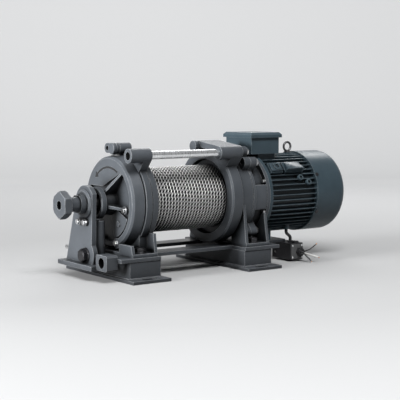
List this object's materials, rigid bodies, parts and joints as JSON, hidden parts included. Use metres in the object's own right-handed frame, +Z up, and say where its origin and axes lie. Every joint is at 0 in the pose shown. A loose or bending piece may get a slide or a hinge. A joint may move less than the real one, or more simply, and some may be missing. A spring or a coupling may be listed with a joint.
{
  "type": "electric winch",
  "caption": "Electric rope winch: a finned brake motor drives a through shaft and reduction gear that turn a wire-rope drum between cast housings on a welded, slotted base.",
  "frame": {"origin": "on the floor, at the centre of the four foot slots, midway between the foot plates", "axes": "+X along the drum axis from the hand-drive head to the motor, +Z up, -Y toward the front where the leads come out"},
  "size_m": [0.835, 0.326, 0.347],
  "materials": {
    "base_paint": "satin charcoal paint on welded steel",
    "casting_paint": "satin charcoal paint on rough cast iron, edges rubbed lighter",
    "motor_paint": "semi-gloss slate-blue paint",
    "black_bolt_steel": "black oxide",
    "zinc_bolt_steel": "bright zinc plate",
    "gear_steel": "machined steel",
    "polished_rod": "ground and polished bar",
    "rope_steel": "galvanised wire rope",
    "black_plastic": "moulded black plastic",
    "lead_rubber": "black cable sheath",
    "white_lead": "white lead insulation",
    "grey_lead": "dark grey lead insulation"
  },
  "bodies": {
    "frame": {"adapter_bolts": "zinc_bolt_steel", "anchor_block": "base_paint", "bearing_bracket": "casting_paint", "bearing_cap": "casting_paint", "black_tail": "lead_rubber", "bracket_base_plate": "base_paint", "bracket_pivot_bolt": "black_bolt_steel", "brake_magnet": "gear_steel", "cover_bearing": "gear_steel", "cover_bolts": "zinc_bolt_steel", "cowl_screws": "black_bolt_steel", "drive_endshield": "motor_paint", "eye_bolt": "zinc_bolt_steel", "fan_cowl": "motor_paint", "fan_endshield": "motor_paint", "foot_bolts": "black_bolt_steel", "front_rail": "base_paint", "gear_cover": "casting_paint", "gear_end_beam": "base_paint", "gear_end_foot_plate": "base_paint", "gear_end_top_plate": "base_paint", "gear_housing": "casting_paint", "grey_tail": "grey_lead", "idler_pins": "gear_steel", "junction_box": "black_plastic", "junction_fittings": "black_plastic", "keeper_plate": "black_bolt_steel", "lifting_lug": "casting_paint", "lug_bolt": "casting_paint", "motor_adapter": "casting_paint", "motor_bearings": "gear_steel", "motor_end_beam": "base_paint", "motor_end_foot_plate": "base_paint", "motor_end_housing": "casting_paint", "motor_end_top_plate": "base_paint", "motor_frame": "motor_paint", "motor_lead": "lead_rubber", "motor_support": "base_paint", "outboard_bearing": "gear_steel", "rear_rail": "base_paint", "stator_core": "gear_steel", "supply_gland": "black_plastic", "terminal_box": "motor_paint", "terminal_box_lid": "motor_paint", "tie_rods": "polished_rod", "white_tail": "white_lead"},
    "drum": {"drum": "casting_paint", "ring_gear": "gear_steel", "rope_winding": "rope_steel", "drum_bearings": "gear_steel"},
    "input_shaft": {"drive_shaft": "gear_steel", "sun_gear": "gear_steel", "hand_drive_head": "casting_paint", "shaft_collar": "casting_paint", "rotor": "gear_steel", "brake_disc": "gear_steel", "fan": "black_plastic"},
    "idler_1": {"idler_gear_1": "gear_steel"},
    "idler_2": {"idler_gear_2": "gear_steel"},
    "idler_3": {"idler_gear_3": "gear_steel"}
  },
  "joints": [
    {"name": "drum_spin", "type": "hinge", "parent": "frame", "child": "drum", "pos_m": [0, 0, 0.182], "axis": [1, 0, 0], "continuous": true},
    {"name": "shaft_spin", "type": "hinge", "parent": "frame", "child": "input_shaft", "pos_m": [0, 0, 0.182], "axis": [1, 0, 0], "continuous": true},
    {"name": "idler_1_spin", "type": "hinge", "parent": "frame", "child": "idler_1", "pos_m": [-0.165, 0, 0.23825], "axis": [1, 0, 0], "continuous": true},
    {"name": "idler_2_spin", "type": "hinge", "parent": "frame", "child": "idler_2", "pos_m": [-0.165, -0.04871, 0.15388], "axis": [1, 0, 0], "continuous": true},
    {"name": "idler_3_spin", "type": "hinge", "parent": "frame", "child": "idler_3", "pos_m": [-0.165, 0.04871, 0.15388], "axis": [1, 0, 0], "continuous": true}
  ],
  "couplings": [
    {"joint": "shaft_spin", "follows": "drum_spin", "ratio": -9.5},
    {"joint": "idler_1_spin", "follows": "drum_spin", "ratio": 4.75},
    {"joint": "idler_2_spin", "follows": "drum_spin", "ratio": 4.75},
    {"joint": "idler_3_spin", "follows": "drum_spin", "ratio": 4.75}
  ]
}
